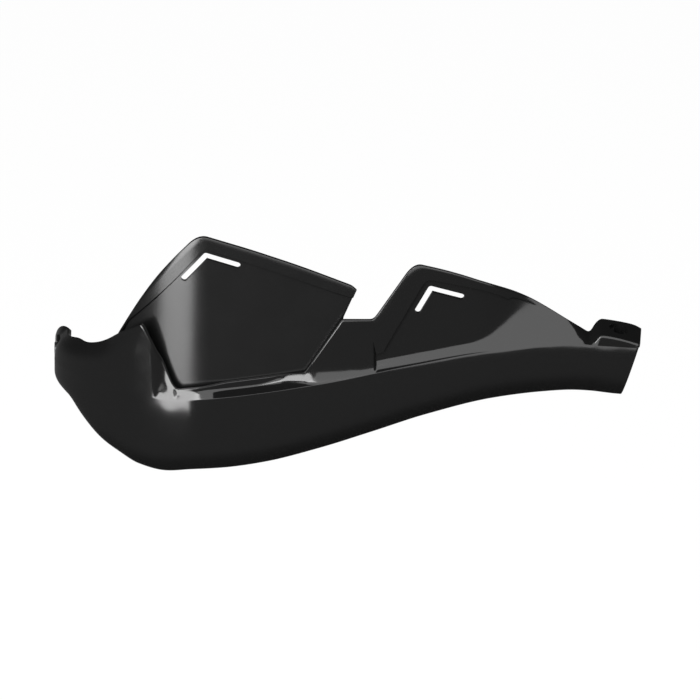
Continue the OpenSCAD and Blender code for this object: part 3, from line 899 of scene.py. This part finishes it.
def finish_of(name, base, relief, haze, rough):
    """Material of one base, with relief in its surface and haze in its roughness.

    Relief is a pattern's size in millimetres, its detail, its strength and its depth in
    millimetres. Haze is a size in millimetres and a detail, and rough is its range of roughness.
    """
    size, detail, strength, depth = relief
    haze_size, haze_detail = haze
    mat, tree = new_material(name)
    place = node(tree, "ShaderNodeTexCoord").outputs["Object"]
    ups = node(tree, "ShaderNodeTexNoise", {"Scale": 1 / (size * MM), "Detail": detail},
               {"Vector": place})
    patches = node(tree, "ShaderNodeTexNoise",
                   {"Scale": 1 / (haze_size * MM), "Detail": haze_detail}, {"Vector": place})
    uneven = node(tree, "ShaderNodeMapRange", {"To Min": rough[0], "To Max": rough[1]},
                  {"Value": patches.outputs["Fac"]})
    bump = node(tree, "ShaderNodeBump", {"Strength": strength, "Distance": depth * MM},
                {"Height": ups.outputs["Fac"]})
    shader = node(tree, "ShaderNodeBsdfPrincipled", base,
                  {"Roughness": uneven.outputs["Result"], "Normal": bump.outputs["Normal"]})
    node(tree, "ShaderNodeOutputMaterial", None, {"Surface": shader.outputs["BSDF"]})
    return mat


def polished_polypropylene(colour):
    """Glossy black polypropylene, moulded against a polished steel tool.

    The cooling skin leaves a mirror with a waviness about 22 mm across, drawn deeper than a real
    one so that it shows. Handling dulls it a little in patches about 45 mm across. So highlights
    are bright and keep a soft, slightly uneven edge.
    """
    return finish_of("polished_polypropylene", {"Base Color": linear(colour), "IOR": 1.49},
                     relief=(22.0, 1.0, 0.25, 1.2), haze=(45.0, 3.0), rough=(0.08, 0.13))


def satin_polypropylene(colour):
    """Satin black polypropylene, moulded against a fine spark-eroded texture.

    The grain spreads highlights into broad soft bands, a little uneven over 20 mm. The real grain
    is too fine for the render, so it is drawn 0.5 mm across, as coarse as it needs to show.
    """
    return finish_of("satin_polypropylene", {"Base Color": linear(colour), "IOR": 1.49},
                     relief=(0.5, 2.0, 0.12, 0.05), haze=(20.0, 3.0), rough=(0.19, 0.23))


def zinc_plated_steel(name, colour, rough):
    """Turned steel with a thin bright zinc plating.

    The plating follows the fine grain of the turned face, which blurs what it mirrors into a soft
    grey sheen. The grain is too fine for the render, so it is drawn 0.4 mm across.
    """
    return finish_of(name, {"Base Color": linear(colour), "Metallic": 1.0},
                     relief=(0.4, 2.0, 0.1, 0.03), haze=(0.4, 2.0), rough=rough)


class ShellSettings(bpy.types.PropertyGroup):
    """Settings of the glossy shell"""
    edge_radius: FloatProperty(
        name="Edge radius", description="Rounding of the shell's edges, in millimetres",
        default=0.5, min=0.2, max=1.0)
    colour: StringProperty(
        name="Colour", description="sRGB hex colour of the glossy plastic", default="#101010")


class DeflectorSettings(bpy.types.PropertyGroup):
    """Settings of the satin deflector"""
    edge_radius: FloatProperty(
        name="Edge radius", description="Rounding of the deflector's edges, in millimetres",
        default=0.5, min=0.2, max=1.0)
    colour: StringProperty(
        name="Colour", description="sRGB hex colour of the satin plastic", default="#0c0c0c")


class SteelSettings(bpy.types.PropertyGroup):
    """Settings of the bush and the screws"""
    bush_colour: StringProperty(
        name="Bush colour", description="sRGB hex colour of the bush", default="#c3c6c9")
    screw_colour: StringProperty(
        name="Screw colour", description="sRGB hex colour of the screws", default="#9da1a5")


class StageSettings(bpy.types.PropertyGroup):
    """Settings of the room and its floor"""
    world_level: FloatProperty(
        name="World level", description="Diffuse light from the room",
        default=0.1, min=0.0, max=2.0)
    room_dark: FloatProperty(
        name="Room behind the camera", description="Brightness that glossy faces see there",
        default=0.16, min=0.0, max=1.0)
    room_top: FloatProperty(
        name="Room overhead", description="Brightness that glossy faces see above the guard",
        default=0.03, min=0.0, max=1.0)
    floor_drop: FloatProperty(
        name="Floor drop", description="Distance from the guard down to the floor",
        default=0.3, min=0.0, max=1.0, unit="LENGTH")


# Stage

# The photograph's frame and the bar end's place in it, in pixels; a pixel at the front in mm
FRAME = 700
BAR_END_PX = (62, 352)
PIXEL = 0.58
# Camera: its tilt, its sensor in mm, and in metres its distance, its clip end and the depth of the
# front that it aims at. It stands no further off, or views from other sides clip the guard away
CAMERA_TILT = math.radians(22)
SENSOR = 36
CAMERA_FAR = 16.0
CAMERA_CLIP = 50
AIM_FRONT = 0.055
# Room, in the height of a direction: where it is brightest, under the horizon, and how it fades
# from there. The white backdrop fades in as a direction nears the camera's own
ROOM_LOW = 0.28
ROOM_FADE = (0.1, 0.6)
BACKDROP_FADE = (0.97, 0.998)
# In metres: half the floor's side and its middle, the point the lamps aim at and how far they are
FLOOR_HALF = 1.2
FLOOR_AT = (0.17, 0.85)
LAMP_AIM = Vector((0.16, -0.06, 0.02))
LAMP_FAR = 3.0


def add_camera(scene):
    """Adds a long lens on the photograph's angle and returns the direction back to it."""
    middle = Vector(((FRAME / 2 - BAR_END_PX[0]) * PIXEL, 0, 0)) * MM
    middle.z = (BAR_END_PX[1] - FRAME / 2) * PIXEL * MM / math.cos(CAMERA_TILT)
    middle += Vector((0, -AIM_FRONT, 0))
    middle.z += AIM_FRONT * math.tan(CAMERA_TILT)
    camera = bpy.data.cameras.new("camera")
    camera.sensor_width = SENSOR
    camera.lens = SENSOR * CAMERA_FAR / (FRAME * PIXEL * MM)
    camera.clip_end = CAMERA_CLIP
    eye = bpy.data.objects.new("camera", camera)
    scene.collection.objects.link(eye)
    back = Vector((0, -math.cos(CAMERA_TILT), math.sin(CAMERA_TILT)))
    eye.location = middle + back * CAMERA_FAR
    eye.rotation_euler = back.to_track_quat("Z", "Y").to_euler()
    scene.camera = eye
    return back


def add_room(scene, settings, back):
    """Adds the world: white to the camera, dim to diffuse faces, a room to glossy ones.

    Glossy and clear faces see the white backdrop where the camera does, else the dim room.
    """
    world = bpy.data.worlds.new("white_room")
    scene.world = world
    world.use_nodes = True
    tree = world.node_tree
    tree.nodes.clear()
    path = node(tree, "ShaderNodeLightPath")
    way = node(tree, "ShaderNodeTexCoord").outputs["Generated"]
    along = node(tree, "ShaderNodeVectorMath", {"operation": "DOT_PRODUCT", 1: tuple(-back)},
                 {0: way})
    high = node(tree, "ShaderNodeSeparateXYZ", None, {"Vector": way})
    off = node(tree, "ShaderNodeMath", {"operation": "ADD", 1: ROOM_LOW}, {0: high.outputs["Z"]})
    off = node(tree, "ShaderNodeMath", {"operation": "ABSOLUTE"}, {0: off.outputs[0]})
    room = node(tree, "ShaderNodeMapRange",
                {"interpolation_type": "SMOOTHSTEP", "From Min": ROOM_FADE[0],
                 "From Max": ROOM_FADE[1], "To Min": settings.room_dark,
                 "To Max": settings.room_top},
                {"Value": off.outputs[0]})
    backdrop = node(tree, "ShaderNodeMapRange",
                    {"interpolation_type": "SMOOTHSTEP", "From Min": BACKDROP_FADE[0],
                     "From Max": BACKDROP_FADE[1], "To Max": 1.0},
                    {"Value": along.outputs["Value"], "To Min": room.outputs["Result"]})
    glossy = node(tree, "ShaderNodeMath", {"operation": "MAXIMUM"},
                  {0: path.outputs["Is Glossy Ray"], 1: path.outputs["Is Transmission Ray"]})
    seen = node(tree, "ShaderNodeMix", {"data_type": "FLOAT", "A": settings.world_level},
                {"Factor": glossy.outputs[0], "B": backdrop.outputs["Result"]})
    final = node(tree, "ShaderNodeMix", {"data_type": "FLOAT", "B": 1.0},
                 {"Factor": path.outputs["Is Camera Ray"], "A": seen.outputs["Result"]})
    light = node(tree, "ShaderNodeBackground", {"Color": linear("#ffffff")},
                 {"Strength": final.outputs["Result"]})
    node(tree, "ShaderNodeOutputWorld", None, {"Surface": light.outputs["Background"]})


def matt_white_floor():
    """Matt white board: white to the camera, less a soft share of its shade."""
    mat, tree = new_material("matt_white_floor")
    path = node(tree, "ShaderNodeLightPath")
    glow = node(tree, "ShaderNodeEmission", {"Color": linear("#ffffff"), "Strength": 0.93})
    paper = node(tree, "ShaderNodeBsdfDiffuse", {"Color": linear("#5a5a5a")})
    both = node(tree, "ShaderNodeAddShader", None, {0: glow.outputs[0], 1: paper.outputs[0]})
    plain = node(tree, "ShaderNodeBsdfDiffuse", {"Color": linear("#e6e6e6")})
    mix = node(tree, "ShaderNodeMixShader", None,
               {0: path.outputs["Is Camera Ray"], 1: plain.outputs[0], 2: both.outputs[0]})
    node(tree, "ShaderNodeOutputMaterial", None, {"Surface": mix.outputs[0]})
    return mat


def softbox(name, azimuth, height, spread, level):
    """Rectangular lamp round the guard: middle and half angles in degrees, and radiance."""
    turn, tilt = math.radians(azimuth), math.radians(height)
    way = Vector((math.sin(turn) * math.cos(tilt), -math.cos(turn) * math.cos(tilt),
                  math.sin(tilt)))
    lamp = bpy.data.lights.new(name, "AREA")
    lamp.shape = "RECTANGLE"
    lamp.size, lamp.size_y = (2 * LAMP_FAR * math.tan(math.radians(half)) for half in spread)
    lamp.energy = level * math.pi * lamp.size * lamp.size_y
    obj = bpy.data.objects.new(name, lamp)
    bpy.context.scene.collection.objects.link(obj)
    obj.location = LAMP_AIM + way * LAMP_FAR
    obj.rotation_euler = way.to_track_quat("Z", "Y").to_euler()
    obj.visible_camera = False


class HANDGUARD_OT_stage(bpy.types.Operator):
    """Sets up the camera, the pale floor, the room and its lamps"""
    bl_idname = "handguard.stage"
    bl_label = "Stage"

    def execute(self, context):
        settings = context.scene.handguard_stage
        scene = context.scene
        scene.view_settings.view_transform = "Standard"
        back = add_camera(scene)
        add_room(scene, settings, back)
        bm = bmesh.new()
        bmesh.ops.create_grid(bm, x_segments=1, y_segments=1, size=FLOOR_HALF)
        bmesh.ops.translate(bm, verts=bm.verts,
                            vec=(*FLOOR_AT, CAD_BOX[0][2] - settings.floor_drop))
        floor = solid_object("floor", bm)
        floor.data.materials.append(matt_white_floor())
        # Glossy faces see the room and the backdrop past the floor's edge, as on a small table
        floor.visible_glossy = False
        softbox("softbox_left", -31, 16, (13, 27), 11)
        softbox("softbox_right", 14, 38, (30, 35), 2.5)
        return {"FINISHED"}


class HANDGUARD_OT_shell(bpy.types.Operator):
    """Moulds the glossy shell: curled band, window, recessed wing, lug, ribs and screw bosses"""
    bl_idname = "handguard.shell"
    bl_label = "Shell"

    def execute(self, context):
        settings = context.scene.handguard_shell
        r = settings.edge_radius
        shell = ring_mesh("moulded_shell", shell_columns(r))
        cut_and_join(shell, shell_backing(r), "UNION")
        cut_and_join(shell, shell_drills(), "DIFFERENCE")
        slot = v_slot("wing_slot", falling(0.017, 0.605), falling(0.091, 0.338),
                      falling(0.264, 0.443))
        cut_and_join(shell, slot, "DIFFERENCE")
        if max(v.co.x for v in shell.data.vertices) < (GUARD_L - WALL) * MM:
            raise RuntimeError("The shell's skin was lost in a boolean")
        dress(shell, polished_polypropylene(settings.colour))
        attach(shell, "root")
        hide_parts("shell")
        return {"FINISHED"}


class HANDGUARD_OT_deflector(bpy.types.Operator):
    """Moulds the satin wind deflector that stands behind the window"""
    bl_idname = "handguard.deflector"
    bl_label = "Wind deflector"

    def execute(self, context):
        settings = context.scene.handguard_deflector
        r = settings.edge_radius
        deflector = ring_mesh("moulded_deflector", deflector_columns(r))
        pads = at_screws("pads", PAD_D, PAD_T + DEFLECTOR_WALL * EMBED, lift=0)
        cut_and_join(deflector, pads, "UNION")
        drills = at_screws("drills", SCREW_D + SCREW_PLAY, DEFLECTOR_WALL + PAD_T + 2 * PAST,
                           lift=PAST, segments=32)
        cut_and_join(deflector, drills, "DIFFERENCE")
        slot = v_slot("deflector_slot", from_peak(-6.3, -27.5), from_peak(6.3, -13.6),
                      from_peak(24.6, -19.1))
        cut_and_join(deflector, slot, "DIFFERENCE")
        dress(deflector, satin_polypropylene(settings.colour))
        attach(deflector, "root")
        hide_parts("deflector")
        return {"FINISHED"}


class HANDGUARD_OT_bush(bpy.types.Operator):
    """Turns the steel bush of the bar end bolt"""
    bl_idname = "handguard.bush"
    bl_label = "Bar end bush"

    def execute(self, context):
        settings = context.scene.handguard_steel
        inside, outside, soft = BOLT_D / 2, BUSH_D / 2, BUSH_SOFT
        profile = [(0, inside + soft), (soft, inside), (STRAP_OUT - soft, inside),
                   (STRAP_OUT, inside + soft), (STRAP_OUT, outside - soft),
                   (STRAP_OUT - soft, outside), (soft, outside), (0, outside - soft)]
        bm = bmesh.new()
        turn_profile(bm, [((END_X + x) * MM, 0, z * MM) for x, z in profile], (1, 0, 0),
                     steps=96, loop=True, merge=MERGE)
        bush = solid_object("turned_bush", bm)
        dress(bush, zinc_plated_steel("zinc_plated_bush", settings.bush_colour, (0.22, 0.34)))
        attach(bush, "root")
        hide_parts("bar_end_bush")
        return {"FINISHED"}


class HANDGUARD_OT_screws(bpy.types.Operator):
    """Makes the four thread-forming screws that hold the deflector"""
    bl_idname = "handguard.screws"
    bl_label = "Deflector screws"

    def execute(self, context):
        settings = context.scene.handguard_steel
        # One screw is turned in millimetres, then copied to its four places
        bm = bmesh.new()
        turn_profile(bm, [(a, 0, b) for a, b in screw_profile()], (0, 0, 1),
                     steps=40, loop=False, merge=MERGE / MM)
        pattern = solid_object("screw_pattern", bm)
        cut_and_join(pattern, screw_recess(), "DIFFERENCE")
        bm = bmesh.new()
        for x, z in SCREW_PLACES:
            one = pattern.data.copy()
            one.transform(Matrix.Scale(MM, 4) @ on_guard(x, z, screw_seat(x, z) - FIT_GAP))
            bm.from_mesh(one)
            bpy.data.meshes.remove(one)
        screws = solid_object("flange_screws", bm)
        discard(pattern)
        dress(screws, zinc_plated_steel("zinc_plated_screws", settings.screw_colour, (0.28, 0.4)))
        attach(screws, "root")
        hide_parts("deflector_screws")
        return {"FINISHED"}


class HANDGUARD_PT_panel(bpy.types.Panel):
    """Lists the hand guard's pieces"""
    bl_label = "Hand guard"
    bl_idname = "HANDGUARD_PT_panel"
    bl_space_type = "VIEW_3D"
    bl_region_type = "UI"
    bl_category = "Hand guard"

    def draw(self, context):
        scene = context.scene
        rows = ((scene.handguard_stage, "stage"), (scene.handguard_shell, "shell"),
                (scene.handguard_deflector, "deflector"), (scene.handguard_steel, "bush"),
                (None, "screws"))
        for group, op in rows:
            box = self.layout.box()
            if group:
                for key in group.bl_rna.properties.keys():
                    if key not in {"rna_type", "name"}:
                        box.prop(group, key)
            box.operator("handguard." + op)


CLASSES = (ShellSettings, DeflectorSettings, SteelSettings, StageSettings, HANDGUARD_OT_stage,
           HANDGUARD_OT_shell, HANDGUARD_OT_deflector, HANDGUARD_OT_bush, HANDGUARD_OT_screws,
           HANDGUARD_PT_panel)


def register():
    """Registers the classes and gives the scene their settings"""
    for cls in CLASSES:
        bpy.utils.register_class(cls)
    bpy.types.Scene.handguard_shell = PointerProperty(type=ShellSettings)
    bpy.types.Scene.handguard_deflector = PointerProperty(type=DeflectorSettings)
    bpy.types.Scene.handguard_steel = PointerProperty(type=SteelSettings)
    bpy.types.Scene.handguard_stage = PointerProperty(type=StageSettings)


def unregister():
    """Takes the settings and the classes away again"""
    for name in ("shell", "deflector", "steel", "stage"):
        delattr(bpy.types.Scene, "handguard_" + name)
    for cls in reversed(CLASSES):
        bpy.utils.unregister_class(cls)


def main():
    register()
    for make in ("stage", "shell", "deflector", "bush", "screws"):
        result = getattr(bpy.ops.handguard, make)()
        if "FINISHED" not in result:
            raise RuntimeError(make + " was not finished")


if __name__ == "__main__":
    main()
